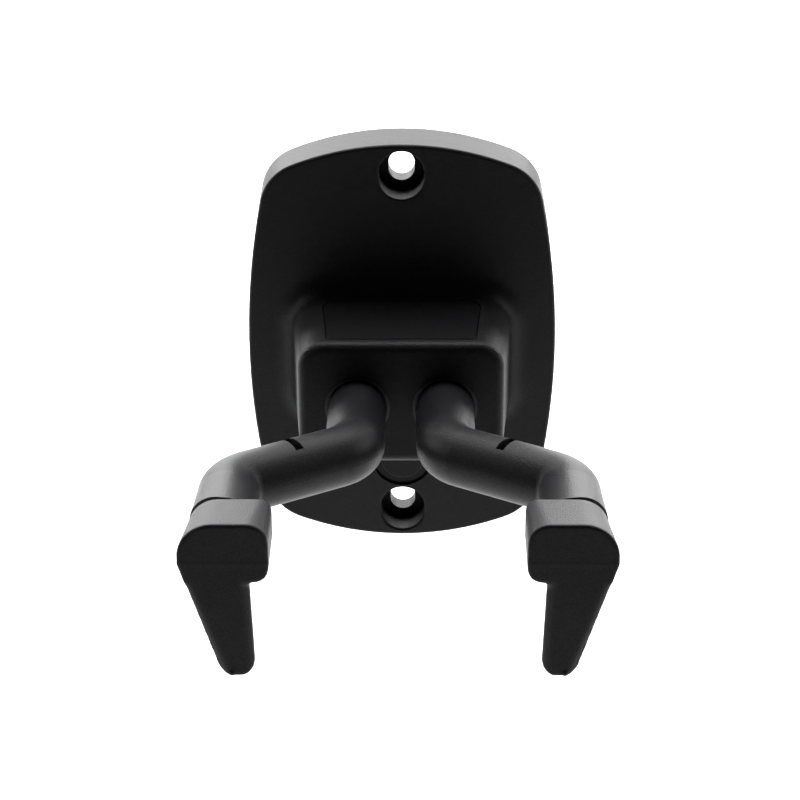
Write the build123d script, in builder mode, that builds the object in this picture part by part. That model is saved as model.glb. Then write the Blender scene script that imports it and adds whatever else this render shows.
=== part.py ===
"""Wall guitar hanger: a moulded wall plate with a housing, and two cranked arms with padded ends.

Millimetres. +Z is up, the wall is the plane y = 0, and the arms reach towards -Y.
The origin is on the wall, halfway between the two screw slots.
The shafts tilt up by shaft_tilt. Each arm is drawn in the yoke plane: x to the right, y up along
the housing's front face, and depth along the shafts, positive in front of that face.
"""
from build123d import *
from math import atan2, cos, degrees, radians, sin, tan
import os

os.makedirs("parts", exist_ok=True)

# ---- wall plate ----
plate_width = 72.5
plate_height = 103.0
plate_depth = 10.7
side_bow = 5.0  # how far the long sides bow out
end_bow = 7.8  # how far the top and bottom arch
plate_corner_radius = 12.0
plate_edge_radius = 0.8
plate_wall = 3.0
rib_thickness = 1.8
pry_notch_z = 31.5  # small notch in the left side's rear edge
pry_notch_width = 1.6
pry_notch_depth = 1.8
rib_offset = 16.0  # upright ribs, from the centre line
housing_rim = 1.2  # solid band left round the housing, behind the plate

# ---- screw slots ----
screw_spacing = 88.0
screw_slot_width = 6.0
screw_slot_length = 7.4
counterbore_width = 10.4
counterbore_depth = 6.6
counterbore_rim = 0.5
screw_boss_wall = 3.0

# ---- housing ----
housing_width = 51.4
housing_height = 33.6
housing_centre_z = -1.4
housing_reach = 37.0  # wall to the front face, at the height of the shafts
housing_corner_radius = 8.5
housing_draft = 5.0
housing_wall = 2.6
front_wall = 3.0
cove_radius = 5.0
front_edge_radius = 2.2
pick_margin = 0.1  # slack when edges are picked by their place

# ---- shafts ----
shaft_spacing = 20.0
shaft_z = -2.0
shaft_tilt = 5.0
rod_diameter = 8.0
shaft_rear_gap = 5.5  # wall to the rod's rear end
shaft_tail_end = 1.6  # rod length behind the retaining ring
running_clearance = 0.05  # radial, between a shaft and its bush

# ---- bushes ----
collar_hole_diameter = 14.8
collar_lip_bore = 13.7  # bush's lip round the sleeve's neck
collar_lip_proud = 0.25
front_bush_recess = 1.2
front_bush_length = 5.9
rear_bush_diameter = 10.4
rear_bush_length = 7.0
collar_seat_wall = 2.0

# ---- cranked arm ----
sleeve_diameter = 13.2
neck_diameter = 12.9
neck_length = 3.0
neck_gap = 0.3
crank_start = 24.7  # depth of the first bend's corner
crank_end = 42.3  # depth of the second bend's corner
crank_offset = 26.0
bend_radius = 8.6
sleeve_end = 63.2
flare_start = 47.2  # the sleeve widens from here to its end
flare_root_diameter = 13.1  # a little inside the sleeve, so the flare starts softly
flare_diameter = 14.6
sleeve_end_slant = 22.0  # the outer half of the end face slopes back
window_width = 1.9
window_length = 6.2

# ---- end pad ----
pad_gap = 0.25  # least gap between the sleeve and the pad
pad_length = 14.8
pad_rear_inner = 10.2  # centre line to the inner side, at the rear
pad_rear_outer = 6.9
pad_rear_bottom = 7.0
pad_front_inner = 10.2
pad_front_outer = 8.3
pad_crown_rear = 7.2
pad_crown_front = 8.3
pad_bottom = 4.6
pad_outer_top_round = 7.4
pad_inner_top_round = 4.4
pad_inner_round = 3.0
pad_outer_round = 5.0
pad_rear_round = 6.4
pad_rear_inner_top_round = 2.4
finger_drop = 25.8  # shaft axis to the finger's tip
finger_tip_outer = 0.1  # tip's outer corner, inward of the pad's centre line
finger_tip_inner = 7.2  # tip's inner corner, inward of the pad's centre line
finger_tip_radius = 3.1
finger_shoulder_radius = 5.0
finger_root_inset = 4.1  # pad's inner side to the finger's inner edge
finger_draft = 5.0
finger_thickness = 6.4
pad_core_diameter = 10.6
pad_core_length = 12.2
pad_core_taper = 7.5
pad_core_front_wall = 1.0
spigot_diameter = 5.2
finger_root_drop = 0.6
finger_root_rise = 0.5

# ---- stops, springs and retainers ----
stroke = 45.0
cam_front = 8.0  # depth behind the front face
cam_length = 4.8
cam_diameter = 15.2
cam_lug_reach = 9.6
cam_lug_width = 4.4
cam_pin_diameter = 2.0
bumper_height = 3.2
bumper_width = 2.8
bumper_edge_radius = 0.4
bumper_gap = 0.05
stop_clearance = 0.15
stop_margin = 0.5  # the stops run this much past the cam, each way
stop_heel_gap = 0.45  # full-stroke stop to the cam's round part
spring_wire = 1.4
spring_mean_radius = 6.3
spring_turns = 4
spring_tang = 2.0
spring_tang_radius = 0.65  # the straight ends are drawn a little thinner than the wire
washer_thickness = 0.8
washer_diameter = 13.6
washer_clearance = 0.1
ring_thickness = 1.0
ring_diameter = 11.0
ring_groove_depth = 0.5
axial_play = 0.05

# ---- bearing carrier and rear cover ----
carrier_front_y = 13.2
carrier_thickness = 3.6
carrier_clearance = 0.4
carrier_boss_diameter = 17.2
carrier_boss_length = 7.4
post_diameter = 5.2
post_inset = 3.3
post_embed = 1.0  # posts run this far into the front wall
cover_thickness = 2.2
cover_recess = 0.4
cover_ledge = 1.4
cover_clearance = 0.2
cover_post_diameter = 6.0
cover_post_offset = 9.4
small_screw_diameter = 2.2
small_screw_head_diameter = 4.4
small_screw_head_height = 1.6
carrier_screw_length = 9.0
cover_screw_length = 6.5
screw_drive_width = 0.6
screw_drive_length = 2.6
screw_drive_depth = 0.6
screw_clearance = 0.15

# ---- badge panel and plug ----
badge_rear_width = 37.2
badge_front_width = 34.2
badge_depth = 17.4
badge_start = 5.0  # plate's front face to the panel's rear edge
badge_thickness = 1.2
badge_corner_radius = 3.0
badge_front_corner_radius = 0.6
badge_gap = 0.2
plug_z = -30.2
plug_recess_diameter = 14.4
plug_recess_depth = 2.4
plug_gap = 0.3
plug_step_diameter = 10.4
plug_step_height = 0.8
plug_edge_radius = 0.4

# ---- shared geometry ----
tilt = radians(shaft_tilt)
yoke = Plane(
    origin=(0, -housing_reach, shaft_z), x_dir=(1, 0, 0), z_dir=(0, -cos(tilt), sin(tilt))
)
bend_plane = Plane(origin=yoke.origin, x_dir=(1, 0, 0), z_dir=-yoke.y_dir)
pad_start = sleeve_end + pad_gap
flare_angle = degrees(atan2((flare_diameter - flare_root_diameter) / 2, sleeve_end - flare_start))
pad_front = pad_start + pad_length
cavity_depth = plate_depth - plate_wall
crank_angle = atan2(crank_offset, crank_end - crank_start)
rod_radius = rod_diameter / 2
shaft_tail = housing_reach - shaft_rear_gap
cam_back = cam_front + cam_length
carrier_back_y = carrier_front_y - carrier_thickness
cover_back_y = cover_recess
cover_front_y = cover_recess + cover_thickness
plate_front = Plane.XZ.offset(plate_depth)
shaft_x = shaft_spacing / 2
pad_x = shaft_x + crank_offset
screw_z = screw_spacing / 2
slot_travel = screw_slot_length - screw_slot_width
screw_boss_radius = (counterbore_width + slot_travel) / 2 + screw_boss_wall
collar_radius = collar_hole_diameter / 2
collar_depth = front_bush_recess + front_bush_length
stop_front = cam_front - stop_margin
stop_length = cam_length + 2 * stop_margin
stop_reach = cam_lug_reach + 2 * stop_margin
draft_rise = (housing_reach - plate_depth) * tan(radians(housing_draft))
bumper_inner_x = shaft_x + cam_diameter / 2
bumper_bottom = cam_lug_width / 2 + bumper_gap
stop_rib_width = housing_width / 2 - draft_rise - bumper_inner_x
stop_rib_y = bumper_bottom + bumper_height + rib_thickness / 2
floor_y = housing_centre_z - housing_height / 2 + draft_rise - shaft_z + housing_wall / 4
badge_plane = Plane(
    origin=(0, -plate_depth, housing_centre_z + housing_height / 2),
    x_dir=(1, 0, 0),
    z_dir=(0, -sin(radians(housing_draft)), cos(radians(housing_draft))),
)
bush_bore = rod_radius + running_clearance
boss_back = shaft_tail - shaft_tail_end - ring_thickness - washer_thickness - 2 * axial_play
boss_front = boss_back - carrier_boss_length
ring_front = boss_back + washer_thickness + 2 * axial_play
neck_back = front_bush_recess - neck_gap
lip_length = front_bush_recess + collar_lip_proud
spigot_radius = spigot_diameter / 2
spigot_start = pad_start - pad_gap
spigot_end = pad_start + pad_core_length - pad_core_front_wall
head_cone = (small_screw_head_diameter - small_screw_diameter) / 2
cover_points = [
    (0, housing_centre_z - cover_post_offset),
    (0, housing_centre_z + cover_post_offset),
]
SIDES = {"left": -1, "right": 1}


def on_yoke(x, y, depth):
    """Point in the part's frame for a place in the yoke plane."""
    return yoke.from_local_coords(Vector(x, y, depth))


def save(piece, name):
    """Label a finished piece and write its STEP file."""
    piece.part.label = name
    export_step(piece.part, f"parts/{name}.step")


def plate_outline(inset=0.0):
    """Barrel shape, moved in by inset: bowed sides, arched ends and rounded corners."""
    half_x, half_z = plate_width / 2 - inset, plate_height / 2 - inset
    corner_x, corner_z = half_x - side_bow, half_z - end_bow
    with BuildSketch() as outline:
        with BuildLine():
            ThreePointArc((-corner_x, corner_z), (0, half_z), (corner_x, corner_z))
            ThreePointArc((corner_x, corner_z), (half_x, 0), (corner_x, -corner_z))
            ThreePointArc((corner_x, -corner_z), (0, -half_z), (-corner_x, -corner_z))
            ThreePointArc((-corner_x, -corner_z), (-half_x, 0), (-corner_x, corner_z))
        make_face()
        fillet(outline.vertices(), plate_corner_radius - inset)
    return outline.sketch


def housing_section(inset, grow=0.0):
    """Rounded rectangle of the housing at its foot, moved in by inset or out by grow."""
    with BuildSketch() as section:
        with Locations((0, housing_centre_z)):
            RectangleRounded(
                housing_width - 2 * inset + 2 * grow,
                housing_height - 2 * inset + 2 * grow,
                housing_corner_radius - inset + grow,
            )
    return section.sketch


def badge_outline(inset):
    """Trapezium of the badge panel on the housing's top, with rounded rear corners."""
    rear, front = badge_rear_width / 2 - inset, badge_front_width / 2 - inset
    near, far = -badge_start - inset, -badge_start - badge_depth + inset
    with BuildSketch() as outline:
        with BuildLine():
            Polyline((-rear, near), (rear, near), (front, far), (-front, far), close=True)
        make_face()
        fillet(outline.vertices().group_by(Axis.Y)[-1], badge_corner_radius - inset)
        fillet(outline.vertices().group_by(Axis.Y)[0], badge_front_corner_radius)
    return outline.sketch


def post_points():
    """Centres of the four carrier posts, in the corners of the housing's hollow."""
    x = housing_width / 2 - housing_wall - post_inset
    z = housing_height / 2 - housing_wall - post_inset
    return [(sx * x, housing_centre_z + sz * z) for sx in (-1, 1) for sz in (-1, 1)]


def pin_plane(side):
    """Plane across the cam's middle, facing along its pin."""
    return Plane(
        origin=on_yoke(side * shaft_x, 0, -cam_front - cam_length / 2), x_dir=yoke.x_dir, z_dir=yoke.y_dir
    )


def sleeve_cut(side):
    """Sloped cut through the sleeve's end, so that the outer half of its gap to the pad opens outward."""
    slant = radians(sleeve_end_slant)
    normal = yoke.z_dir * cos(slant) + yoke.x_dir * (side * sin(slant))
    return Plane(origin=on_yoke(side * pad_x, 0, sleeve_end), x_dir=yoke.y_dir, z_dir=normal)


def window_plane(side):
    """Plane through the middle of the crank's straight, facing up, with x along the arm."""
    middle = on_yoke(side * (shaft_x + pad_x) / 2, 0, (crank_start + crank_end) / 2)
    along = yoke.x_dir * (side * sin(crank_angle)) + yoke.z_dir * cos(crank_angle)
    return Plane(origin=middle, x_dir=along, z_dir=yoke.y_dir)


def lug_frame(side, turn):
    """Yoke-plane directions along the cam's lug and ahead of it, once the arm has turned."""
    angle = radians(turn)
    along = Vector(side * cos(angle), -sin(angle))
    ahead = Vector(-side * sin(angle), -cos(angle))
    return along, ahead


def arm_path(side, start, end):
    """Centre line of a cranked arm between two depths: forward, outward and forward again."""
    inner_x = side * shaft_x
    outer_x = side * pad_x
    with BuildLine(bend_plane) as path:
        FilletPolyline(
            (inner_x, start),
            (inner_x, crank_start),
            (outer_x, crank_end),
            (outer_x, end),
            radius=bend_radius,
        )
    return path.line


def shaft_disc(side, radius, front, length, bore=0.0):
    """Round piece on a shaft, from a depth behind the front face and backwards."""
    with BuildPart() as disc:
        with BuildSketch(yoke.offset(-front)):
            with Locations((side * shaft_x, 0)):
                Circle(radius)
                if bore:
                    Circle(bore, mode=Mode.SUBTRACT)
        extrude(amount=-length)
    return disc


# ---- wall plate with its housing ----
def front_edges(piece, half_x, half_z, centre_z):
    """Edges in the plate's front face that lie within a rectangle."""
    edges = piece.edges()
    for axis, middle, half in (
        (Axis.Y, -plate_depth, 0.0),
        (Axis.X, 0.0, half_x),
        (Axis.Z, centre_z, half_z),
    ):
        reach = half + pick_margin
        edges = edges.filter_by_position(axis, middle - reach, middle + reach)
    return edges


def housing_hollow():
    """Space inside the housing, open at the wall."""
    with BuildPart() as hollow:
        with BuildSketch(Plane.XZ):
            add(housing_section(housing_wall))
        extrude(amount=plate_depth)
        with BuildSketch(plate_front):
            add(housing_section(housing_wall))
        extrude(amount=housing_reach, taper=housing_draft)
        split(bisect_by=yoke.offset(-front_wall), keep=Keep.BOTTOM)
        with BuildSketch(Plane.XZ):
            add(housing_section(housing_wall - cover_ledge))
        extrude(amount=cover_front_y)
    return hollow.part


def plate_cavity():
    """Hollows behind the plate, around the bosses, the housing's rim and the ribs."""
    with BuildPart() as cavity:
        with BuildSketch(Plane.XZ) as space:
            add(plate_outline(plate_wall))
            add(housing_section(0.0, grow=housing_rim), mode=Mode.SUBTRACT)
            with Locations((0, screw_z), (0, -screw_z)):
                Circle(screw_boss_radius, mode=Mode.SUBTRACT)
            with Locations((0, plug_z)):
                Circle(plug_recess_diameter / 2 + plate_wall / 2, mode=Mode.SUBTRACT)
            with Locations((-rib_offset, 0), (rib_offset, 0)):
                Rectangle(rib_thickness, plate_height, mode=Mode.SUBTRACT)
            with Locations((0, housing_centre_z - rib_offset / 2), (0, housing_centre_z + rib_offset / 2)):
                Rectangle(plate_width, rib_thickness, mode=Mode.SUBTRACT)
        extrude(amount=cavity_depth)
    return cavity.part


with BuildPart() as wall_plate:
    with BuildSketch(Plane.XZ):
        add(plate_outline())
    extrude(amount=plate_depth)
    fillet(wall_plate.faces().sort_by(Axis.Y)[0].edges(), plate_edge_radius)
    with BuildSketch(plate_front):
        add(housing_section(0.0))
    extrude(amount=housing_reach, taper=housing_draft)
    split(bisect_by=yoke, keep=Keep.BOTTOM)

    # rounded front edge and the cove round the housing's foot
    front_face = wall_plate.faces().sort_by(Axis.Y)[0]
    fillet(front_face.edges(), front_edge_radius)
    foot = front_edges(wall_plate, housing_width / 2, housing_height / 2, housing_centre_z)
    fillet(foot, cove_radius)

    # screw slots with their counterbores
    with BuildSketch(plate_front):
        with Locations((0, screw_z), (0, -screw_z)):
            SlotOverall(counterbore_width + slot_travel, counterbore_width, rotation=90)
    extrude(amount=-counterbore_depth, mode=Mode.SUBTRACT)
    with BuildSketch(plate_front):
        with Locations((0, screw_z), (0, -screw_z)):
            SlotOverall(screw_slot_length, screw_slot_width, rotation=90)
    extrude(amount=-plate_depth, mode=Mode.SUBTRACT)
    for z in (screw_z, -screw_z):
        rims = front_edges(wall_plate, counterbore_width / 2, (counterbore_width + slot_travel) / 2, z)
        fillet(rims, counterbore_rim)

    # pry notch in the rear edge
    side_x = plate_width / 2 - side_bow * (pry_notch_z / (plate_height / 2 - end_bow)) ** 2
    with BuildSketch(Plane.XZ):
        with Locations((-side_x, pry_notch_z)):
            Rectangle(pry_notch_width, pry_notch_width)
    extrude(amount=pry_notch_depth, mode=Mode.SUBTRACT)

    # hollows behind
    add(plate_cavity(), mode=Mode.SUBTRACT)
    add(housing_hollow(), mode=Mode.SUBTRACT)

    # collar seats, screw posts and the arms' stops inside the housing
    with BuildSketch(yoke.offset(-front_wall / 2)):
        with Locations((-shaft_x, 0), (shaft_x, 0)):
            Circle(collar_radius + collar_seat_wall)
    extrude(amount=-(collar_depth - front_wall / 2))
    with BuildSketch(Plane.XZ.offset(carrier_front_y)):
        with Locations(*post_points()):
            Circle(post_diameter / 2)
    extrude(amount=housing_reach - carrier_front_y - front_wall + post_embed)
    for side in SIDES.values():
        with BuildSketch(yoke.offset(-stop_front)):
            with Locations((side * (bumper_inner_x + stop_rib_width / 2), stop_rib_y)):
                Rectangle(stop_rib_width, rib_thickness)
            along, ahead = lug_frame(side, stroke)
            heel = Vector(side * shaft_x, 0) + ahead * (cam_lug_width / 2 + stop_clearance)
            near = heel + along * (cam_diameter / 2 + stop_heel_gap)
            far = heel + along * stop_reach
            with BuildLine():
                Polyline(
                    (near.X, near.Y),
                    (far.X, far.Y),
                    (far.X, floor_y),
                    (near.X - side * rib_thickness, floor_y),
                    (near.X - side * rib_thickness, near.Y - rib_thickness / 2),
                    close=True,
                )
            make_face()
        extrude(amount=-stop_length)

    # collar holes, pilot holes, badge recess and plug recess
    with BuildSketch(yoke):
        with Locations((-shaft_x, 0), (shaft_x, 0)):
            Circle(collar_radius)
    extrude(amount=-collar_depth, mode=Mode.SUBTRACT)
    with BuildSketch(Plane.XZ.offset(carrier_front_y)):
        with Locations(*post_points()):
            Circle(small_screw_diameter / 2 + running_clearance)
    extrude(amount=carrier_screw_length, mode=Mode.SUBTRACT)
    with BuildSketch(plate_front):
        with Locations((0, plug_z)):
            Circle(plug_recess_diameter / 2)
    extrude(amount=-plug_recess_depth, mode=Mode.SUBTRACT)
    with BuildSketch(badge_plane):
        add(badge_outline(0.0))
    extrude(amount=-badge_thickness, mode=Mode.SUBTRACT)
save(wall_plate, "wall_plate")


# ---- pieces fixed to the wall plate ----
with BuildPart() as badge_panel:
    with BuildSketch(badge_plane):
        add(badge_outline(badge_gap))
    extrude(amount=-badge_thickness)
    chamfer(badge_panel.faces().sort_by(Axis.Z)[-1].edges(), badge_gap)
save(badge_panel, "badge_panel")

with BuildPart() as screw_plug:
    plug_floor = plate_depth - plug_recess_depth
    with BuildSketch(Plane.XZ.offset(plug_floor)):
        with Locations((0, plug_z)):
            Circle(plug_recess_diameter / 2 - plug_gap)
    extrude(amount=plug_recess_depth - plug_step_height)
    with BuildSketch(Plane.XZ.offset(plate_depth - plug_step_height)):
        with Locations((0, plug_z)):
            Circle(plug_step_diameter / 2)
    extrude(amount=plug_step_height)
    fillet(screw_plug.faces().sort_by(Axis.Y)[0].edges(), plug_edge_radius)
save(screw_plug, "screw_plug")

with BuildPart() as bearing_carrier:
    with BuildSketch(Plane.XZ.offset(carrier_back_y)):
        add(housing_section(housing_wall + carrier_clearance))
    extrude(amount=carrier_thickness)
    with BuildSketch(yoke.offset(-boss_back)):
        with Locations((-shaft_x, 0), (shaft_x, 0)):
            Circle(carrier_boss_diameter / 2)
    extrude(amount=carrier_boss_length)
    with BuildSketch(Plane.XZ.offset(cover_front_y)):
        with Locations(*cover_points):
            Circle(cover_post_diameter / 2)
    extrude(amount=carrier_back_y - cover_front_y)
    with BuildSketch(yoke.offset(-boss_back)):
        with Locations((-shaft_x, 0), (shaft_x, 0)):
            Circle(carrier_boss_diameter / 2)
    extrude(amount=-(carrier_back_y - cover_front_y), mode=Mode.SUBTRACT)
    with BuildSketch(yoke.offset(-boss_back)):
        with Locations((-shaft_x, 0), (shaft_x, 0)):
            Circle(rear_bush_diameter / 2)
    extrude(amount=carrier_boss_length, mode=Mode.SUBTRACT)
    with BuildSketch(yoke.offset(-boss_front)):
        with Locations((-shaft_x + spring_mean_radius, 0), (shaft_x - spring_mean_radius, 0)):
            Circle(spring_tang_radius + running_clearance)
    extrude(amount=-(spring_tang + spring_wire), mode=Mode.SUBTRACT)
    with BuildSketch(Plane.XZ.offset(carrier_back_y)):
        with Locations(*post_points()):
            Circle(small_screw_diameter / 2 + screw_clearance)
    extrude(amount=carrier_thickness, mode=Mode.SUBTRACT)
    with BuildSketch(Plane.XZ.offset(cover_front_y)):
        with Locations(*cover_points):
            Circle(small_screw_diameter / 2 + running_clearance)
    extrude(amount=cover_screw_length, mode=Mode.SUBTRACT)
save(bearing_carrier, "bearing_carrier")

with BuildPart() as rear_cover:
    with BuildSketch(Plane.XZ.offset(cover_back_y)):
        add(housing_section(housing_wall - cover_ledge + cover_clearance))
    extrude(amount=cover_thickness)
    with BuildSketch(Plane.XZ.offset(cover_back_y)):
        with Locations(*cover_points):
            Circle(small_screw_diameter / 2 + screw_clearance)
    extrude(amount=cover_thickness, mode=Mode.SUBTRACT)
    with BuildSketch(Plane.XZ.offset(cover_back_y)):
        with Locations(*cover_points):
            Circle(small_screw_head_diameter / 2 + screw_clearance)
    extrude(amount=head_cone, taper=45, mode=Mode.SUBTRACT)
save(rear_cover, "rear_cover")

with BuildPart() as carrier_screws:
    with BuildSketch(Plane.XZ.offset(carrier_back_y)):
        with Locations(*post_points()):
            Circle(small_screw_head_diameter / 2)
    extrude(amount=-small_screw_head_height)
    fillet(carrier_screws.faces().group_by(Axis.Y)[-1].edges(), small_screw_head_height / 2)
    with BuildSketch(Plane.XZ.offset(carrier_back_y)):
        with Locations(*post_points()):
            Circle(small_screw_diameter / 2)
    extrude(amount=carrier_screw_length)
    with BuildSketch(Plane.XZ.offset(carrier_back_y - small_screw_head_height)):
        with Locations(*post_points()):
            Rectangle(screw_drive_length, screw_drive_width)
            Rectangle(screw_drive_width, screw_drive_length)
    extrude(amount=screw_drive_depth, mode=Mode.SUBTRACT)
save(carrier_screws, "carrier_screws")

with BuildPart() as cover_screws:
    with BuildSketch(Plane.XZ.offset(cover_back_y)):
        with Locations(*cover_points):
            Circle(small_screw_head_diameter / 2)
    extrude(amount=head_cone, taper=45)
    with BuildSketch(Plane.XZ.offset(cover_back_y)):
        with Locations(*cover_points):
            Circle(small_screw_diameter / 2)
    extrude(amount=cover_screw_length)
    with BuildSketch(Plane.XZ.offset(cover_back_y)):
        with Locations(*cover_points):
            Rectangle(screw_drive_length, screw_drive_width)
            Rectangle(screw_drive_width, screw_drive_length)
    extrude(amount=screw_drive_depth, mode=Mode.SUBTRACT)
save(cover_screws, "cover_screws")


# ---- pieces made for each side ----
def make_bushes(side, label):
    """Front bush in the collar hole, rear bush in the carrier."""
    with BuildPart() as front:
        add(shaft_disc(side, collar_radius, front_bush_recess, front_bush_length, bush_bore).part)
        add(shaft_disc(side, collar_radius, -collar_lip_proud, lip_length, collar_lip_bore / 2).part)
    save(front, f"front_bush_{label}")
    rear = shaft_disc(side, rear_bush_diameter / 2, boss_back - rear_bush_length, rear_bush_length, bush_bore)
    save(rear, f"rear_bush_{label}")


def make_stop_bumper(side, label):
    """Rubber block between the cam's lug and the rib above it."""
    with BuildPart() as bumper:
        with BuildSketch(yoke.offset(-stop_front)):
            with Locations((side * (bumper_inner_x + bumper_width / 2), bumper_bottom + bumper_height / 2)):
                Rectangle(bumper_width, bumper_height)
        extrude(amount=-stop_length)
        fillet(bumper.edges().filter_by(lambda e: abs(e.tangent_at(0.5).Y) > 0.9), bumper_edge_radius)
    save(bumper, f"stop_bumper_{label}")


def make_arm_core(side, label):
    """Bent steel rod, with a ring groove, a pin hole and a thinner end for the pad."""
    with BuildPart() as rod:
        with BuildSketch(yoke.offset(-shaft_tail)):
            with Locations((side * shaft_x, 0)):
                Circle(rod_radius)
        sweep(path=arm_path(side, -shaft_tail, spigot_start))
        with BuildSketch(yoke.offset(spigot_start)):
            with Locations((side * pad_x, 0)):
                Circle(spigot_radius)
        extrude(amount=spigot_end - spigot_start)
        with BuildSketch(yoke.offset(-ring_front)):
            with Locations((side * shaft_x, 0)):
                Circle(rod_radius + ring_groove_depth)
                Circle(rod_radius - ring_groove_depth, mode=Mode.SUBTRACT)
        extrude(amount=-ring_thickness, mode=Mode.SUBTRACT)
        with BuildSketch(pin_plane(side)):
            Circle(cam_pin_diameter / 2)
        extrude(amount=cam_diameter, both=True, mode=Mode.SUBTRACT)
        chamfer(rod.faces().sort_by(Axis.Y)[-1].edges(), ring_groove_depth)
    save(rod, f"arm_core_{label}")


def make_arm_sleeve(side, label):
    """Moulded cover on the rod, with a neck in the collar and a window above and below."""
    with BuildPart() as sleeve:
        with BuildSketch(yoke.offset(-neck_back)):
            with Locations((side * shaft_x, 0)):
                Circle(sleeve_diameter / 2)
        sweep(path=arm_path(side, -neck_back, sleeve_end))
        with BuildSketch(yoke.offset(flare_start)):
            with Locations((side * pad_x, 0)):
                Circle(flare_root_diameter / 2)
        extrude(amount=sleeve_end - flare_start, taper=-flare_angle)
        with BuildSketch(yoke.offset(-neck_back)):
            with Locations((side * shaft_x, 0)):
                Circle(sleeve_diameter)
                Circle(neck_diameter / 2, mode=Mode.SUBTRACT)
        extrude(amount=neck_length, mode=Mode.SUBTRACT)
        split(bisect_by=sleeve_cut(side), keep=Keep.BOTTOM)
        fillet(sleeve.faces().sort_by(Axis.Y)[-1].edges(), (sleeve_diameter - neck_diameter))
        with BuildSketch(yoke.offset(-neck_back)):
            with Locations((side * shaft_x, 0)):
                Circle(rod_radius)
        sweep(path=arm_path(side, -neck_back, sleeve_end + pad_gap), mode=Mode.SUBTRACT)
        with BuildSketch(window_plane(side)):
            Rectangle(window_width, window_length)
        extrude(amount=sleeve_diameter, both=True, mode=Mode.SUBTRACT)
    save(sleeve, f"arm_sleeve_{label}")


def pad_profile(side, inner, outer, crown, bottom, corner_radii):
    """Section of a pad, square to the shaft, with its corners rounded from the inner top round."""
    with BuildSketch() as profile:
        with BuildLine():
            FilletPolyline(
                *[
                    (side * (pad_x - x), y)
                    for x, y in (
                        (inner, crown),
                        (inner, -bottom),
                        (-outer, -bottom),
                        (-outer, crown),
                    )
                ],
                radius=corner_radii,
                close=True,
            )
        make_face()
    return profile.sketch


def finger_profile(side):
    """Front outline of the retaining finger: the pad's full width at its root, and a round tip."""
    corners = (
        (-pad_front_outer, finger_root_rise),
        (-pad_front_outer, -finger_root_drop),
        (finger_tip_outer, -finger_drop),
        (finger_tip_inner, -finger_drop),
        (pad_front_inner - finger_root_inset, finger_root_rise),
    )
    radii = (0, finger_shoulder_radius, finger_tip_radius, finger_tip_radius, 0)
    with BuildSketch() as profile:
        with BuildLine():
            FilletPolyline(
                *[(side * (pad_x - x), y) for x, y in corners],
                radius=radii,
                close=True,
            )
        make_face()
    return profile.sketch


def pad_core_cone(side, length):
    """Tapered plug shape of the pad's rigid core."""
    with BuildPart() as cone:
        with BuildSketch(yoke.offset(pad_start)):
            with Locations((side * pad_x, 0)):
                Circle(pad_core_diameter / 2)
        extrude(amount=length, taper=pad_core_taper)
    return cone.part


def make_pad(side, label):
    """Soft end pad with its finger, on a rigid core that sits on the rod's end."""
    with BuildPart() as pad:
        rear_radii = [pad_rear_inner_top_round, pad_rear_round, pad_rear_round, pad_rear_round]
        front_radii = [pad_inner_top_round, pad_inner_round, pad_outer_round, pad_outer_top_round]
        rear = (pad_rear_inner, pad_rear_outer, pad_crown_rear, pad_rear_bottom)
        front = (pad_front_inner, pad_front_outer, pad_crown_front, pad_bottom)
        with BuildSketch(yoke.offset(pad_start)):
            add(pad_profile(side, *rear, rear_radii))
        with BuildSketch(yoke.offset(pad_front)):
            add(pad_profile(side, *front, front_radii))
        loft()
        with BuildSketch(yoke.offset(pad_front)):
            add(finger_profile(side))
        extrude(amount=-finger_thickness, taper=finger_draft)
        add(pad_core_cone(side, pad_core_length), mode=Mode.SUBTRACT)
    save(pad, f"end_pad_{label}")
    with BuildPart() as core:
        add(pad_core_cone(side, pad_core_length))
        with BuildSketch(yoke.offset(pad_start)):
            with Locations((side * pad_x, 0)):
                Circle(spigot_radius)
        extrude(amount=spigot_end - pad_start, mode=Mode.SUBTRACT)
    save(core, f"pad_core_{label}")


def make_stop_cam(side, label):
    """Collar keyed to the shaft: its lug rests on the bumper, and meets the rib at full stroke."""
    with BuildPart() as cam:
        with BuildSketch(yoke.offset(-cam_front)):
            with Locations((side * shaft_x, 0)):
                Circle(cam_diameter / 2)
            with Locations((side * (shaft_x + cam_lug_reach / 2), 0)):
                Rectangle(cam_lug_reach, cam_lug_width)
            with Locations((side * shaft_x, 0)):
                Circle(rod_radius, mode=Mode.SUBTRACT)
        extrude(amount=-cam_length)
        with BuildSketch(yoke.offset(-cam_back)):
            with Locations((side * (shaft_x - spring_mean_radius), 0)):
                Circle(spring_wire / 2 + running_clearance)
        extrude(amount=spring_tang, mode=Mode.SUBTRACT)
        with BuildSketch(pin_plane(side)):
            Circle(cam_pin_diameter / 2)
        extrude(amount=cam_diameter, both=True, mode=Mode.SUBTRACT)
    save(cam, f"stop_cam_{label}")
    with BuildPart() as pin:
        with BuildSketch(pin_plane(side)):
            Circle(cam_pin_diameter / 2)
        extrude(amount=cam_diameter / 2 - stop_clearance, both=True)
    save(pin, f"cam_pin_{label}")


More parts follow.
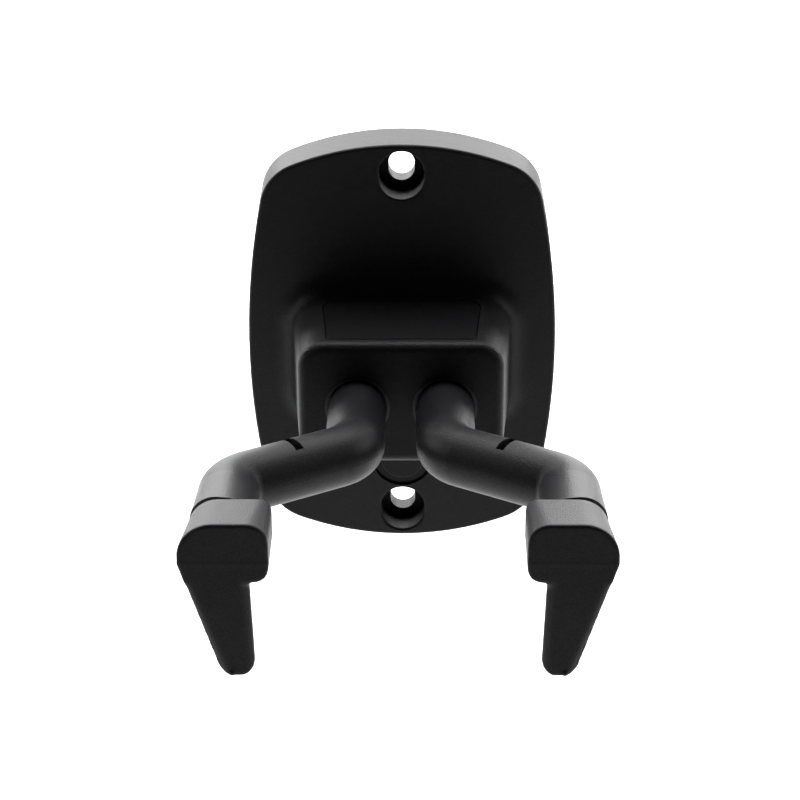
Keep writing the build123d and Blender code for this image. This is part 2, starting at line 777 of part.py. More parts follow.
def make_retainers(side, label):
    """Washers before the cam and behind the carrier, and the ring in the shaft's groove."""
    front_washer = shaft_disc(
        side, washer_diameter / 2, collar_depth + axial_play, washer_thickness, rod_radius + washer_clearance
    )
    save(front_washer, f"thrust_washer_{label}")
    rear_washer = shaft_disc(
        side, washer_diameter / 2, boss_back + axial_play, washer_thickness, rod_radius + washer_clearance
    )
    save(rear_washer, f"rear_washer_{label}")
    with BuildPart() as ring:
        with BuildSketch(yoke.offset(-ring_front)):
            with Locations((side * shaft_x, 0)):
                Circle(ring_diameter / 2)
                Circle(rod_radius - ring_groove_depth, mode=Mode.SUBTRACT)
            with Locations((side * shaft_x, -ring_diameter / 2)):
                Rectangle(rod_radius, ring_diameter, mode=Mode.SUBTRACT)
        extrude(amount=-ring_thickness)
    save(ring, f"retaining_ring_{label}")


def spring_shape(side, coil_length):
    """Torsion spring about Z from its first turn at z = 0, with a straight end along Z at each end."""
    with BuildPart() as shape:
        with BuildLine():
            coil = Helix(coil_length / spring_turns, coil_length, spring_mean_radius, lefthand=side > 0)
        with BuildSketch(Plane(origin=coil @ 0, z_dir=coil % 0)):
            Circle(spring_wire / 2)
        sweep(path=coil)
        for end, way in ((0, -1), (coil_length, 1)):
            with BuildSketch(Plane.XY.offset(end)):
                with Locations((spring_mean_radius, 0)):
                    Circle(spring_tang_radius)
            extrude(amount=way * (spring_wire / 2 + spring_tang))
    return shape.part


def make_spring(side, label):
    """Torsion spring round the shaft, with one straight end in the cam and one in the carrier."""
    coil_start = cam_back + spring_wire / 2 + running_clearance
    coil_end = boss_front - spring_wire / 2 - running_clearance
    start = Plane(
        origin=on_yoke(side * shaft_x, 0, -coil_start), x_dir=yoke.x_dir * -side, z_dir=-yoke.z_dir
    )
    with BuildPart() as spring:
        with Locations(start.location):
            add(spring_shape(side, coil_end - coil_start))
    save(spring, f"torsion_spring_{label}")


for label, side in SIDES.items():
    make_bushes(side, label)
    make_stop_bumper(side, label)
    make_arm_core(side, label)
    make_arm_sleeve(side, label)
    make_pad(side, label)
    make_stop_cam(side, label)
    make_retainers(side, label)
    make_spring(side, label)
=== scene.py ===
"""Looks for the wall guitar hanger: moulded finishes, soft end pads, steel hardware, stage and camera."""
from math import cos, radians, sin

import bpy
from mathutils import Matrix, Vector


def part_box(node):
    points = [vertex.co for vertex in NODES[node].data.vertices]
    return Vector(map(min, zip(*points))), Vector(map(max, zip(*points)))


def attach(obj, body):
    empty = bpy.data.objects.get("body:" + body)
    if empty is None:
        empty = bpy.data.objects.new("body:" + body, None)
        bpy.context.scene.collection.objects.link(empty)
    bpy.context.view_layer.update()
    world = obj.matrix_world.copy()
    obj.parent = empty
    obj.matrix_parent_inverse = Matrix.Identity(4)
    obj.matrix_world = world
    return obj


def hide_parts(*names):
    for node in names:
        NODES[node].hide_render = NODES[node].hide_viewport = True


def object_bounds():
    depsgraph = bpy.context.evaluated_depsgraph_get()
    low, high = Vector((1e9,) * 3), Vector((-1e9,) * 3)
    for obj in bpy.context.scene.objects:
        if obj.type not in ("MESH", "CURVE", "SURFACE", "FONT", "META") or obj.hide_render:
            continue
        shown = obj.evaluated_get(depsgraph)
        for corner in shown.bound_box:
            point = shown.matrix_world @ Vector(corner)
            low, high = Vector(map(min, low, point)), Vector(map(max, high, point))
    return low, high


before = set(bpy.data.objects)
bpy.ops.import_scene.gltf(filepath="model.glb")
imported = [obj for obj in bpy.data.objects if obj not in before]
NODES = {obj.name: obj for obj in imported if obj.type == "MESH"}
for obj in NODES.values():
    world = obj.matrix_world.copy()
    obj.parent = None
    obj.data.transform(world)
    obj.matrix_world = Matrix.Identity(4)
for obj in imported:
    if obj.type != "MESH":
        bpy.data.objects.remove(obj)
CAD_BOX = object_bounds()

bl_info = {
    "name": "Wall guitar hanger",
    "version": (1, 0, 0),
    "blender": (4, 5, 0),
    "location": "3D View > Sidebar > Hanger",
    "description": "Gives the hanger its finishes and soft pads, and sets up the stage",
    "category": "Object",
}

SIDES = {"left": -1, "right": 1}
SHAFT_TILT = radians(5.0)
OUTWARD = Vector((0.0, -cos(SHAFT_TILT), sin(SHAFT_TILT)))
UPWARD = Vector((0.0, sin(SHAFT_TILT), cos(SHAFT_TILT)))
JOINT_AT = Vector((0.0, -0.037, -0.002))

PAD_INNER = 0.0102
FINGER_TOP = 0.0046
FINGER_LENGTH = 0.0212
FINGER_THICKNESS = 0.0064
FINGER_ROOT_INNER, FINGER_TIP_INNER = 0.0063, 0.0072
FINGER_ROOT_OUTER, FINGER_TIP_OUTER = 0.0069, -0.0007
CAVITY_REACH = 0.0062  # half the width kept free of marks, round the pad's core
FACE_BAND = 0.001  # depth of the front face's band of marks
GATE_BAND = 0.003  # depth in which the gate's nub lies
GATE_RISE = 0.45  # nub's height, as a share of its radius
SMOOTH_FACTOR = 0.5  # strength of one smoothing pass

PIT_PAINTED_SHADE = 0.62  # painted shade in the grain's pits, against the plain colour
TARNISH_SHADE = 0.55  # tarnished steel, against the clean colour
PANEL_SHADE = 0.85  # panel and plug, against the shell
FLOOR_SHADE = 0.985  # floor's mottle, against its colour
ZINC_SHADE, SPRING_SHADE = 1.15, 0.8  # against the steel's colour

FLOOR_REACH = 6.0
BACKDROP_AT, BACKDROP_AIM, BACKDROP_SIZE = (0.0, 0.98, 0.46), (0.0, 0.0, 0.30), (1.9, 1.0)
FLOOR_LIGHT_Y, FLOOR_LIGHT_Z = 0.75, 1.3
FLOOR_LIGHT_SIZE, FLOOR_LIGHT_SPREAD = (2.4, 1.2), 95.0
SIDE_LIGHT_X, SIDE_LIGHT_Y, SIDE_LIGHT_Z = 1.6, 0.35, 0.35
SIDE_LIGHT_SIZE = (0.9, 1.5)
SENSOR_WIDTH = 36.0
CAMERA_CLIP = 0.01

SHELL = ("wall_plate",)
PANELS = ("badge_panel", "screw_plug")
INNER = ("bearing_carrier", "rear_cover", "pad_core_left", "pad_core_right")
BUSHES = ("front_bush_left", "front_bush_right", "rear_bush_left", "rear_bush_right")
BUMPERS = ("stop_bumper_left", "stop_bumper_right")
SLEEVES = ("arm_sleeve_left", "arm_sleeve_right")
RODS = ("arm_core_left", "arm_core_right")
SCREWS = ("carrier_screws", "cover_screws")
TURNED = ("stop_cam_left", "stop_cam_right", "cam_pin_left", "cam_pin_right")
SPRUNG = tuple(
    f"{name}_{label}"
    for name in ("torsion_spring", "thrust_washer", "rear_washer", "retaining_ring")
    for label in SIDES
)


# ---- sizes and colours a user would change ----
class HangerFinish(bpy.types.PropertyGroup):
    shell_colour: bpy.props.FloatVectorProperty(
        name="Shell colour", description="Moulded black of the plate and housing",
        subtype="COLOR", size=3, min=0.0, max=1.0, default=(0.0072, 0.0071, 0.0086),
    )
    sleeve_colour: bpy.props.FloatVectorProperty(
        name="Sleeve colour", description="Black of the arms' moulded sleeves",
        subtype="COLOR", size=3, min=0.0, max=1.0, default=(0.0105, 0.0102, 0.0120),
    )
    pad_colour: bpy.props.FloatVectorProperty(
        name="Pad colour", description="Soft rubber of the end pads",
        subtype="COLOR", size=3, min=0.0, max=1.0, default=(0.0115, 0.0110, 0.0135),
    )
    steel_colour: bpy.props.FloatVectorProperty(
        name="Steel colour", description="Plated and spring steel",
        subtype="COLOR", size=3, min=0.0, max=1.0, default=(0.50, 0.50, 0.51),
    )
    dust_colour: bpy.props.FloatVectorProperty(
        name="Dust colour", description="Pale bloom and handling marks on the plastic",
        subtype="COLOR", size=3, min=0.0, max=1.0, default=(0.16, 0.155, 0.15),
    )
    grain_size: bpy.props.FloatProperty(
        name="Grain size", description="Pitch of the sandblasted mould grain",
        unit="LENGTH", min=0.0001, max=0.002, default=0.00042,
    )


class HangerPads(bpy.types.PropertyGroup):
    voxel: bpy.props.FloatProperty(
        name="Mesh pitch", description="Pitch of the pads' surface mesh",
        unit="LENGTH", min=0.0002, max=0.002, default=0.0003,
    )
    softening: bpy.props.IntProperty(
        name="Edge softening", description="Smoothing passes that round the pads' edges",
        min=0, max=40, default=9,
    )
    inner_roll: bpy.props.FloatProperty(
        name="Inner roll", description="Width of the rounding along the finger's inner edge",
        unit="LENGTH", min=0.0002, max=0.004, default=0.0027,
    )
    outer_roll: bpy.props.FloatProperty(
        name="Outer roll", description="Width of the rounding along the finger's outer edge",
        unit="LENGTH", min=0.0002, max=0.004, default=0.0016,
    )
    roll_start: bpy.props.FloatProperty(
        name="Roll start", description="Length over which the finger's rounding begins",
        unit="LENGTH", min=0.0002, max=0.01, default=0.0012,
    )
    seam_level: bpy.props.FloatProperty(
        name="Seam level", description="Parting line above the shaft's level",
        unit="LENGTH", min=-0.01, max=0.01, default=-0.0004,
    )
    gate_inward: bpy.props.FloatProperty(
        name="Gate place", description="Gate's nub inward of the pad's centre line",
        unit="LENGTH", min=-0.01, max=0.01, default=0.0022,
    )
    seam_depth: bpy.props.FloatProperty(
        name="Seam height", description="How far the mould's parting line stands proud",
        unit="LENGTH", min=0.0, max=0.0005, default=0.00004,
    )
    seam_width: bpy.props.FloatProperty(
        name="Seam width", description="Half width of the parting line",
        unit="LENGTH", min=0.0001, max=0.002, default=0.00045,
    )
    gate_radius: bpy.props.FloatProperty(
        name="Gate radius", description="Radius of the moulding gate's nub by the finger's tip",
        unit="LENGTH", min=0.0002, max=0.002, default=0.0007,
    )


class HangerStage(bpy.types.PropertyGroup):
    camera_at: bpy.props.FloatVectorProperty(
        name="Camera place", description="Where the camera stands",
        subtype="XYZ", unit="LENGTH", size=3, default=(0.005, -0.539, 0.267),
    )
    camera_pitch: bpy.props.FloatProperty(
        name="Camera pitch", description="How far the camera looks down",
        subtype="ANGLE", default=radians(28.0),
    )
    camera_yaw: bpy.props.FloatProperty(
        name="Camera yaw", description="How far the camera looks to the left",
        subtype="ANGLE", default=radians(0.6),
    )
    camera_roll: bpy.props.FloatProperty(
        name="Camera roll", description="Turn of the camera about its own axis",
        subtype="ANGLE", default=radians(-0.25),
    )
    lens: bpy.props.FloatProperty(
        name="Lens", description="Focal length in millimetres on a 36 mm sensor",
        min=10.0, max=400.0, default=112.5,
    )
    floor_drop: bpy.props.FloatProperty(
        name="Floor drop", description="Object's lowest point to the floor",
        unit="LENGTH", min=0.0, max=2.0, default=0.16,
    )
    backdrop_power: bpy.props.FloatProperty(
        name="Backdrop power", description="Light behind and above the object, in watts",
        min=0.0, default=38.0,
    )
    floor_power: bpy.props.FloatProperty(
        name="Floor power", description="Light over the floor behind the object, in watts",
        min=0.0, default=22.0,
    )
    side_power: bpy.props.FloatProperty(
        name="Side power", description="Light on each side, in watts",
        min=0.0, default=12.0,
    )
    room_light: bpy.props.FloatProperty(
        name="Room light", description="Brightness of the room all round",
        min=0.0, default=0.03,
    )
    floor_colour: bpy.props.FloatVectorProperty(
        name="Floor colour", description="Pale floor",
        subtype="COLOR", size=3, min=0.0, max=1.0, default=(0.93, 0.93, 0.93),
    )


# ---- node groups ----
def new_group(name, inputs, outputs):
    """Empty shader group with named sockets, and its input and output nodes."""
    group = bpy.data.node_groups.new(name, "ShaderNodeTree")
    for label, kind, default in inputs:
        socket = group.interface.new_socket(name=label, in_out="INPUT", socket_type=f"NodeSocket{kind}")
        socket.default_value = default
    for label, kind in outputs:
        group.interface.new_socket(name=label, in_out="OUTPUT", socket_type=f"NodeSocket{kind}")
    return group, group.nodes.new("NodeGroupInput"), group.nodes.new("NodeGroupOutput")


def texture(group, kind, vector, scale, detail=2.0, rough=0.5):
    """Noise or Voronoi texture driven by a scale socket or number."""
    node = group.nodes.new(kind)
    group.links.new(vector, node.inputs["Vector"])
    if isinstance(scale, bpy.types.NodeSocket):
        group.links.new(scale, node.inputs["Scale"])
    else:
        node.inputs["Scale"].default_value = scale
    if kind == "ShaderNodeTexNoise":
        node.inputs["Detail"].default_value = detail
        node.inputs["Roughness"].default_value = rough
    return node


def maths(group, operation, first, second=0.5, clamp=False):
    """Math node fed by sockets or numbers."""
    node = group.nodes.new("ShaderNodeMath")
    node.operation = operation
    node.use_clamp = clamp
    for place, value in ((0, first), (1, second)):
        if isinstance(value, bpy.types.NodeSocket):
            group.links.new(value, node.inputs[place])
        else:
            node.inputs[place].default_value = value
    return node.outputs[0]


def spread(group, value, low, high, out_low=0.0, out_high=1.0):
    """Clamped, smooth remap of a value."""
    node = group.nodes.new("ShaderNodeMapRange")
    node.interpolation_type = "SMOOTHSTEP"
    group.links.new(value, node.inputs["Value"])
    for label, number in (("From Min", low), ("From Max", high), ("To Min", out_low), ("To Max", out_high)):
        if isinstance(number, bpy.types.NodeSocket):
            group.links.new(number, node.inputs[label])
        else:
            node.inputs[label].default_value = number
    return node.outputs["Result"]


def blend_colour(group, factor, first, second):
    """Colour mix fed by sockets."""
    node = group.nodes.new("ShaderNodeMix")
    node.data_type = "RGBA"
    for label, socket in (("Factor", factor), ("A", first), ("B", second)):
        target = [s for s in node.inputs if s.name == label and s.enabled][0]
        group.links.new(socket, target)
    return [s for s in node.outputs if s.enabled][0]


def grain_and_pit_shade_group():
    """Sandblasted mould grain: a height, and a mask of its pits, where shade is painted into the colour."""
    group, given, out = new_group(
        "Mould grain and pit shade",
        (("Vector", "Vector", (0, 0, 0)), ("Scale", "Float", 2400.0), ("Waviness", "Float", 0.3)),
        (("Height", "Float"), ("Painted pit shade", "Float")),
    )
    fine = texture(group, "ShaderNodeTexNoise", given.outputs["Vector"], given.outputs["Scale"], 3.0, 0.6)
    cells = texture(group, "ShaderNodeTexVoronoi", given.outputs["Vector"], given.outputs["Scale"])
    slow = texture(group, "ShaderNodeTexNoise", given.outputs["Vector"], 60.0, 2.0, 0.5)
    peaks = spread(group, cells.outputs["Distance"], 0.0, 0.75)
    grain = maths(group, "MULTIPLY", fine.outputs["Fac"], peaks)
    wave = maths(group, "MULTIPLY", slow.outputs["Fac"], given.outputs["Waviness"])
    group.links.new(maths(group, "ADD", grain, wave), out.inputs["Height"])
    # the grain's low points give the mask for the painted shade in its pits
    group.links.new(spread(group, grain, 0.42, 0.16), out.inputs["Painted pit shade"])
    return group


def handling_group():
    """Dust bloom and rubbed marks: a mask that varies over the surface, and a fine scratch height."""
    group, given, out = new_group(
        "Handling marks",
        (("Vector", "Vector", (0, 0, 0)), ("Amount", "Float", 0.5), ("Scratches", "Float", 0.5)),
        (("Mask", "Float"), ("Height", "Float")),
    )
    cloud = texture(group, "ShaderNodeTexNoise", given.outputs["Vector"], 95.0, 6.0, 0.68)
    speck = texture(group, "ShaderNodeTexNoise", given.outputs["Vector"], 1500.0, 2.0, 0.7)
    stretch = group.nodes.new("ShaderNodeMapping")
    stretch.inputs["Rotation"].default_value = (0.4, 0.9, 0.5)
    stretch.inputs["Scale"].default_value = (1900.0, 70.0, 1900.0)
    group.links.new(given.outputs["Vector"], stretch.inputs["Vector"])
    lines = texture(group, "ShaderNodeTexNoise", stretch.outputs["Vector"], 1.0, 1.0, 0.4)
    scratch = spread(group, lines.outputs["Fac"], 0.69, 0.76)
    scratch = maths(group, "MULTIPLY", scratch, given.outputs["Scratches"])
    patches = spread(group, cloud.outputs["Fac"], 0.46, 0.78)
    dots = spread(group, speck.outputs["Fac"], 0.60, 0.74)
    dots = maths(group, "MULTIPLY", dots, 0.35)
    total = maths(group, "ADD", maths(group, "ADD", patches, dots), scratch)
    total = maths(group, "MULTIPLY", total, given.outputs["Amount"], clamp=True)
    group.links.new(total, out.inputs["Mask"])
    group.links.new(maths(group, "MULTIPLY", scratch, -1.0), out.inputs["Height"])
    return group


def brushed_group():
    """Drawn or turned steel: fine lines and slow tarnish."""
    group, given, out = new_group(
        "Drawn steel",
        (("Vector", "Vector", (0, 0, 0)), ("Lines", "Float", 1.0)),
        (("Height", "Float"), ("Tarnish", "Float")),
    )
    stretch = group.nodes.new("ShaderNodeMapping")
    stretch.inputs["Scale"].default_value = (2600.0, 120.0, 2600.0)
    group.links.new(given.outputs["Vector"], stretch.inputs["Vector"])
    lines = texture(group, "ShaderNodeTexNoise", stretch.outputs["Vector"], 1.0, 2.0, 0.6)
    cloud = texture(group, "ShaderNodeTexNoise", given.outputs["Vector"], 260.0, 4.0, 0.6)
    drawn = maths(group, "MULTIPLY", lines.outputs["Fac"], given.outputs["Lines"])
    group.links.new(drawn, out.inputs["Height"])
    group.links.new(spread(group, cloud.outputs["Fac"], 0.42, 0.72), out.inputs["Tarnish"])
    return group


def place_group(tree, group, **values):
    """Group node in a material, with its own input values."""
    node = tree.nodes.new("ShaderNodeGroup")
    node.node_tree = group
    for label, value in values.items():
        node.inputs[label].default_value = value
    return node


def base_material(name, rough, metallic=0.0, specular=0.5):
    """Material with a Principled BSDF and object coordinates."""
    material = bpy.data.materials.new(name)
    material.use_nodes = True
    tree = material.node_tree
    shader = tree.nodes["Principled BSDF"]
    shader.inputs["Roughness"].default_value = rough
    shader.inputs["Metallic"].default_value = metallic
    shader.inputs["Specular IOR Level"].default_value = specular
    where = tree.nodes.new("ShaderNodeTexCoord").outputs["Object"]
    return material, tree, shader, where


def add_bump(tree, shader, height, strength, distance):
    """Bump from a height socket into the shader's normal."""
    bump = tree.nodes.new("ShaderNodeBump")
    bump.inputs["Strength"].default_value = strength
    bump.inputs["Distance"].default_value = distance
    tree.links.new(height, bump.inputs["Height"])
    tree.links.new(bump.outputs["Normal"], shader.inputs["Normal"])


def moulded(name, colour, rough, dust, scratches, grain_depth, specular):
    """Grained plastic or rubber with painted shade in the grain's pits and a bloom of handling marks."""
    finish = bpy.context.scene.hanger_finish
    material, tree, shader, where = base_material(name, rough, specular=specular)
    grain = place_group(tree, bpy.data.node_groups["Mould grain and pit shade"], Scale=1.0 / finish.grain_size)
    marks = place_group(tree, bpy.data.node_groups["Handling marks"], Amount=dust, Scratches=scratches)
    for node in (grain, marks):
        tree.links.new(where, node.inputs["Vector"])
    plain = tree.nodes.new("ShaderNodeRGB")
    plain.outputs[0].default_value = (*colour, 1.0)
    # painted shade: the grain's pits are darkened in the colour
    pit_shade_colour = tree.nodes.new("ShaderNodeRGB")
    pit_shade_colour.outputs[0].default_value = (*[channel * PIT_PAINTED_SHADE for channel in colour], 1.0)
    pale = tree.nodes.new("ShaderNodeRGB")
    pale.outputs[0].default_value = (*finish.dust_colour, 1.0)
    pit_shaded = blend_colour(tree, grain.outputs["Painted pit shade"], plain.outputs[0], pit_shade_colour.outputs[0])
    tinted = blend_colour(tree, marks.outputs["Mask"], pit_shaded, pale.outputs[0])
    tree.links.new(tinted, shader.inputs["Base Color"])
    rougher = maths(tree, "MULTIPLY", marks.outputs["Mask"], 0.5)
    rougher = maths(tree, "ADD", rougher, rough)
    tree.links.new(rougher, shader.inputs["Roughness"])
    height = maths(tree, "ADD", grain.outputs["Height"], marks.outputs["Height"])
    add_bump(tree, shader, height, 1.0, grain_depth)
    return material


def steel(name, colour, rough, lines):
    """Drawn or turned steel with slow tarnish."""
    material, tree, shader, where = base_material(name, rough, metallic=1.0)
    drawn = place_group(tree, bpy.data.node_groups["Drawn steel"], Lines=lines)
    tree.links.new(where, drawn.inputs["Vector"])
    clean = tree.nodes.new("ShaderNodeRGB")
    clean.outputs[0].default_value = (*colour, 1.0)
    dull = tree.nodes.new("ShaderNodeRGB")
    dull.outputs[0].default_value = (*[channel * TARNISH_SHADE for channel in colour], 1.0)
    tinted = blend_colour(tree, drawn.outputs["Tarnish"], clean.outputs[0], dull.outputs[0])
    tree.links.new(tinted, shader.inputs["Base Color"])
    rougher = maths(tree, "MULTIPLY", drawn.outputs["Tarnish"], 0.25)
    tree.links.new(maths(tree, "ADD", rougher, rough), shader.inputs["Roughness"])
    add_bump(tree, shader, drawn.outputs["Height"], 0.5, 0.00003)
    return material


def coat(names, material):
    """Put a material on CAD nodes, in every slot."""
    for name in names:
        mesh = NODES[name].data
        if not mesh.materials:
            mesh.materials.append(material)
        for place in range(len(NODES[name].material_slots)):
            NODES[name].material_slots[place].material = material


# ---- pieces ----
class HANGER_OT_effects(bpy.types.Operator):
    """Build the shared shader groups"""
    bl_idname = "hanger.effects"
    bl_label = "Shared effects"

    def execute(self, context):
        grain_and_pit_shade_group()
        handling_group()
        brushed_group()
        return {"FINISHED"}


class HANGER_OT_shell(bpy.types.Operator):
    """Finish the wall plate, its panel and plug, and the plastic parts behind"""
    bl_idname = "hanger.shell"
    bl_label = "Wall plate and housing"

    def execute(self, context):
        finish = context.scene.hanger_finish
        colour = tuple(finish.shell_colour)
        coat(SHELL, moulded(
            "Plate plastic", colour,
            rough=0.44, dust=0.012, scratches=0.10, grain_depth=0.00006, specular=0.20,
        ))
        smooth = tuple(channel * PANEL_SHADE for channel in colour)
        coat(PANELS, moulded(
            "Panel plastic", smooth,
            rough=0.38, dust=0.010, scratches=0.20, grain_depth=0.00003, specular=0.18,
        ))
        coat(INNER, moulded(
            "Inner plastic", (0.03, 0.03, 0.031),
            rough=0.5, dust=0.06, scratches=0.2, grain_depth=0.00005, specular=0.45,
        ))
        coat(BUSHES, moulded(
            "Bush plastic", (0.012, 0.012, 0.012),
            rough=0.35, dust=0.02, scratches=0.1, grain_depth=0.00003, specular=0.5,
        ))
        coat(BUMPERS, moulded(
            "Bumper rubber", (0.02, 0.02, 0.02),
            rough=0.7, dust=0.1, scratches=0.0, grain_depth=0.00006, specular=0.4,
        ))
        return {"FINISHED"}


class HANGER_OT_arms(bpy.types.Operator):
    """Finish the arms' sleeves and the coated rods inside them"""
    bl_idname = "hanger.arms"
    bl_label = "Arms"

    def execute(self, context):
        finish = context.scene.hanger_finish
        colour = tuple(finish.sleeve_colour)
        coat(SLEEVES, moulded(
            "Sleeve plastic", colour,
            rough=0.42, dust=0.03, scratches=0.35, grain_depth=0.00005, specular=0.22,
        ))
        coat(RODS, moulded(
            "Rod coating", (0.006, 0.006, 0.006),
            rough=0.42, dust=0.03, scratches=0.2, grain_depth=0.00004, specular=0.4,
        ))
        return {"FINISHED"}


class HANGER_OT_pads(bpy.types.Operator):
    """Build the soft end pads, with rounded edges, a parting line and a moulding gate"""
    bl_idname = "hanger.pads"
    bl_label = "End pads"

    def execute(self, context):
        sizes = context.scene.hanger_pads
        finish = context.scene.hanger_finish
        rubber = moulded(
            "Pad rubber", tuple(finish.pad_colour),
            rough=0.46, dust=0.035, scratches=0.45, grain_depth=0.00005, specular=0.22,
        )
        for label, side in SIDES.items():
            pad, middle_x, front = soften(f"end_pad_{label}", f"soft_pad_{label}", side, sizes)
            mould_marks(pad, middle_x, front, side, sizes)
            pad.data.materials.clear()
            pad.data.materials.append(rubber)
            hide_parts(f"end_pad_{label}")
            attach(pad, f"{label}_arm")
        return {"FINISHED"}


def remeshed(name, mesh, voxel, passes):
    """Evenly meshed copy of a closed mesh, smoothed by some passes."""
    rough = bpy.data.objects.new(f"{name}_rough", mesh)
    bpy.context.collection.objects.link(rough)
    even = rough.modifiers.new("Even mesh", "REMESH")
    even.mode = "VOXEL"
    even.voxel_size = voxel
    if passes:
        relax = rough.modifiers.new("Rounded edges", "SMOOTH")
        relax.factor = SMOOTH_FACTOR
        relax.iterations = passes
    bpy.context.view_layer.update()
    result = bpy.data.meshes.new_from_object(rough.evaluated_get(bpy.context.evaluated_depsgraph_get()))
    bpy.data.objects.remove(rough)
    return result


def pad_place(point, middle_x, side):
    """Place of a point on a pad: inward of its centre line, above the shaft's level, and ahead."""
    local = point - JOINT_AT
    return side * (middle_x - point.x), local.dot(UPWARD), local.dot(OUTWARD)


def soften(node, name, side, sizes):
    """Finely meshed copy of a soft CAD pad, with its finger's front edges rolled off."""
    mesh = remeshed(name, NODES[node].data.copy(), sizes.voxel, 1)
    low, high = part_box(node)
    middle_x = side * (min(abs(low[0]), abs(high[0])) + PAD_INNER)
    front = max((vertex.co - JOINT_AT).dot(OUTWARD) for vertex in mesh.vertices)
    for vertex in mesh.vertices:
        inward, level, ahead = pad_place(vertex.co, middle_x, side)
        if level > -FINGER_TOP or ahead < front - FINGER_THICKNESS:
            continue
        down = (-FINGER_TOP - level) / FINGER_LENGTH
        inner_gap = FINGER_ROOT_INNER + (FINGER_TIP_INNER - FINGER_ROOT_INNER) * down - inward
        outer_gap = inward + FINGER_ROOT_OUTER + (FINGER_TIP_OUTER - FINGER_ROOT_OUTER) * down
        start = min(1.0, max(0.0, down * FINGER_LENGTH / sizes.roll_start))
        drop = 0.0
        for gap, width in ((inner_gap, sizes.inner_roll), (outer_gap, sizes.outer_roll)):
            near = max(0.0, min(1.0, 1.0 - gap / width))
            drop += width * 0.5 * near * near * start
        vertex.co -= OUTWARD * max(0.0, ahead - (front - drop))
    mesh = remeshed(name, mesh, sizes.voxel, sizes.softening)
    pad = bpy.data.objects.new(name, mesh)
    bpy.context.collection.objects.link(pad)
    for polygon in mesh.polygons:
        polygon.use_smooth = True
    return pad, middle_x, front


def mould_marks(pad, middle_x, front, side, sizes):
    """Raise the parting line across the pad and a small gate nub by the finger's tip."""
    mesh = pad.data
    lowest = min(vertex.co.z for vertex in mesh.vertices)
    normals = [vertex.normal.copy() for vertex in mesh.vertices]
    for vertex, normal in zip(mesh.vertices, normals):
        inward, level, ahead = pad_place(vertex.co, middle_x, side)
        if ahead < front - FACE_BAND and abs(inward) < CAVITY_REACH:
            continue
        shift = sizes.seam_depth * max(0.0, 1.0 - ((level - sizes.seam_level) / sizes.seam_width) ** 2)
        gate = Vector((inward - sizes.gate_inward, vertex.co.z - lowest - sizes.gate_radius))
        if gate.length < sizes.gate_radius and ahead > front - GATE_BAND:
            shift += sizes.gate_radius * GATE_RISE * (1.0 - (gate.length / sizes.gate_radius) ** 2)
        vertex.co += normal * shift


class HANGER_OT_hardware(bpy.types.Operator):
    """Finish the screws, stop cams, springs, washers and rings"""
    bl_idname = "hanger.hardware"
    bl_label = "Hardware"

    def execute(self, context):
        colour = tuple(context.scene.hanger_finish.steel_colour)
        zinc = tuple(min(1.0, c * ZINC_SHADE) for c in colour)
        coat(SCREWS, steel("Zinc plated steel", zinc, rough=0.30, lines=0.4))
        coat(TURNED, steel("Turned steel", colour, rough=0.34, lines=1.0))
        coat(SPRUNG, steel("Spring steel", tuple(c * SPRING_SHADE for c in colour), rough=0.38, lines=0.8))
        return {"FINISHED"}


# ---- stage ----
def sheet_mesh(name, corners, material):
    """Flat four-cornered stage surface."""
    mesh = bpy.data.meshes.new(name)
    mesh.from_pydata(corners, [], [(0, 1, 2, 3)])
    mesh.materials.append(material)
    surface = bpy.data.objects.new(name, mesh)
    bpy.context.collection.objects.link(surface)


def soft_light(name, place, aim, size, power, spread_angle=180.0):
    """Area light at a place, facing a point."""
    data = bpy.data.lights.new(name, "AREA")
    data.spread = radians(spread_angle)
    data.shape = "RECTANGLE"
    data.size, data.size_y = size
    data.energy = power
    light = bpy.data.objects.new(name, data)
    bpy.context.collection.objects.link(light)
    light.location = place
    light.visible_camera = False
    light.rotation_euler = (Vector(aim) - Vector(place)).to_track_quat("-Z", "Y").to_euler()


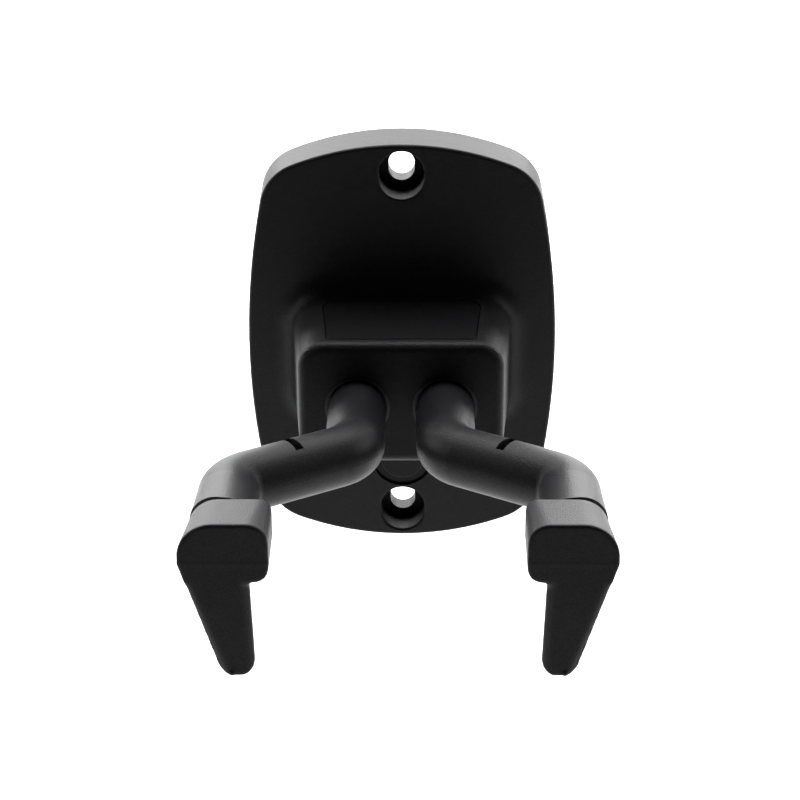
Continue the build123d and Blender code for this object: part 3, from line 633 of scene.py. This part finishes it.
class HANGER_OT_stage(bpy.types.Operator):
    """Set the pale floor, the soft light and the camera"""
    bl_idname = "hanger.stage"
    bl_label = "Stage"

    def execute(self, context):
        stage = context.scene.hanger_stage
        material, tree, shader, where = base_material("Pale floor", 0.9, specular=0.1)
        mottle = texture(tree, "ShaderNodeTexNoise", where, 3.0, 3.0, 0.5)
        bright = tree.nodes.new("ShaderNodeRGB")
        bright.outputs[0].default_value = (*stage.floor_colour, 1.0)
        duller = tree.nodes.new("ShaderNodeRGB")
        duller.outputs[0].default_value = (*[c * FLOOR_SHADE for c in stage.floor_colour], 1.0)
        tree.links.new(
            blend_colour(tree, mottle.outputs["Fac"], bright.outputs[0], duller.outputs[0]),
            shader.inputs["Base Color"],
        )
        z = CAD_BOX[0][2] - stage.floor_drop
        reach = FLOOR_REACH
        sheet_mesh(
            "pale_floor", [(-reach, -reach, z), (reach, -reach, z), (reach, reach, z), (-reach, reach, z)],
            material,
        )
        centre = (0.0, 0.0, 0.0)
        soft_light("backdrop_light", BACKDROP_AT, BACKDROP_AIM, BACKDROP_SIZE, stage.backdrop_power)
        soft_light(
            "floor_light", (0.0, FLOOR_LIGHT_Y, FLOOR_LIGHT_Z), (0.0, FLOOR_LIGHT_Y, z),
            FLOOR_LIGHT_SIZE, stage.floor_power, FLOOR_LIGHT_SPREAD,
        )
        for side in SIDES.values():
            place = (side * SIDE_LIGHT_X, SIDE_LIGHT_Y, SIDE_LIGHT_Z)
            soft_light(f"side_light_{side}", place, centre, SIDE_LIGHT_SIZE, stage.side_power)
        world = bpy.data.worlds.new("Studio")
        world.use_nodes = True
        sky = world.node_tree.nodes["Background"].inputs
        sky["Color"].default_value = (1.0, 1.0, 1.0, 1.0)
        sky["Strength"].default_value = stage.room_light
        context.scene.world = world
        context.scene.view_settings.view_transform = "Standard"

        yaw, pitch, roll = stage.camera_yaw, stage.camera_pitch, stage.camera_roll
        ahead = Vector((-sin(yaw) * cos(pitch), cos(yaw) * cos(pitch), -sin(pitch)))
        right = ahead.cross(Vector((0.0, 0.0, 1.0))).normalized()
        over = right.cross(ahead)
        right, over = right * cos(roll) + over * sin(roll), over * cos(roll) - right * sin(roll)
        data = bpy.data.cameras.new("Camera")
        data.lens = stage.lens
        data.sensor_width = SENSOR_WIDTH
        data.clip_start = CAMERA_CLIP
        camera = bpy.data.objects.new("Camera", data)
        context.collection.objects.link(camera)
        turn = Matrix((right, over, -ahead)).transposed().to_4x4()
        camera.matrix_world = Matrix.Translation(stage.camera_at) @ turn
        context.scene.camera = camera
        return {"FINISHED"}


STEPS = ("effects", "shell", "arms", "pads", "hardware", "stage")


class HANGER_PT_panel(bpy.types.Panel):
    """Steps and values of the hanger"""
    bl_idname = "HANGER_PT_panel"
    bl_label = "Wall guitar hanger"
    bl_space_type = "VIEW_3D"
    bl_region_type = "UI"
    bl_category = "Hanger"

    def draw(self, context):
        layout = self.layout
        for step in STEPS:
            layout.operator(f"hanger.{step}")
        for group in ("hanger_finish", "hanger_pads", "hanger_stage"):
            values = getattr(context.scene, group)
            column = layout.column(align=True)
            for name in values.__annotations__:
                column.prop(values, name)


GROUPS = {"hanger_finish": HangerFinish, "hanger_pads": HangerPads, "hanger_stage": HangerStage}
CLASSES = (
    HangerFinish, HangerPads, HangerStage,
    HANGER_OT_effects, HANGER_OT_shell, HANGER_OT_arms, HANGER_OT_pads,
    HANGER_OT_hardware, HANGER_OT_stage, HANGER_PT_panel,
)


def register():
    for kind in CLASSES:
        bpy.utils.register_class(kind)
    for name, kind in GROUPS.items():
        setattr(bpy.types.Scene, name, bpy.props.PointerProperty(type=kind))


def unregister():
    for name in GROUPS:
        delattr(bpy.types.Scene, name)
    for kind in reversed(CLASSES):
        bpy.utils.unregister_class(kind)


def main():
    register()
    for step in STEPS:
        getattr(bpy.ops.hanger, step)()


if __name__ == "__main__":
    main()
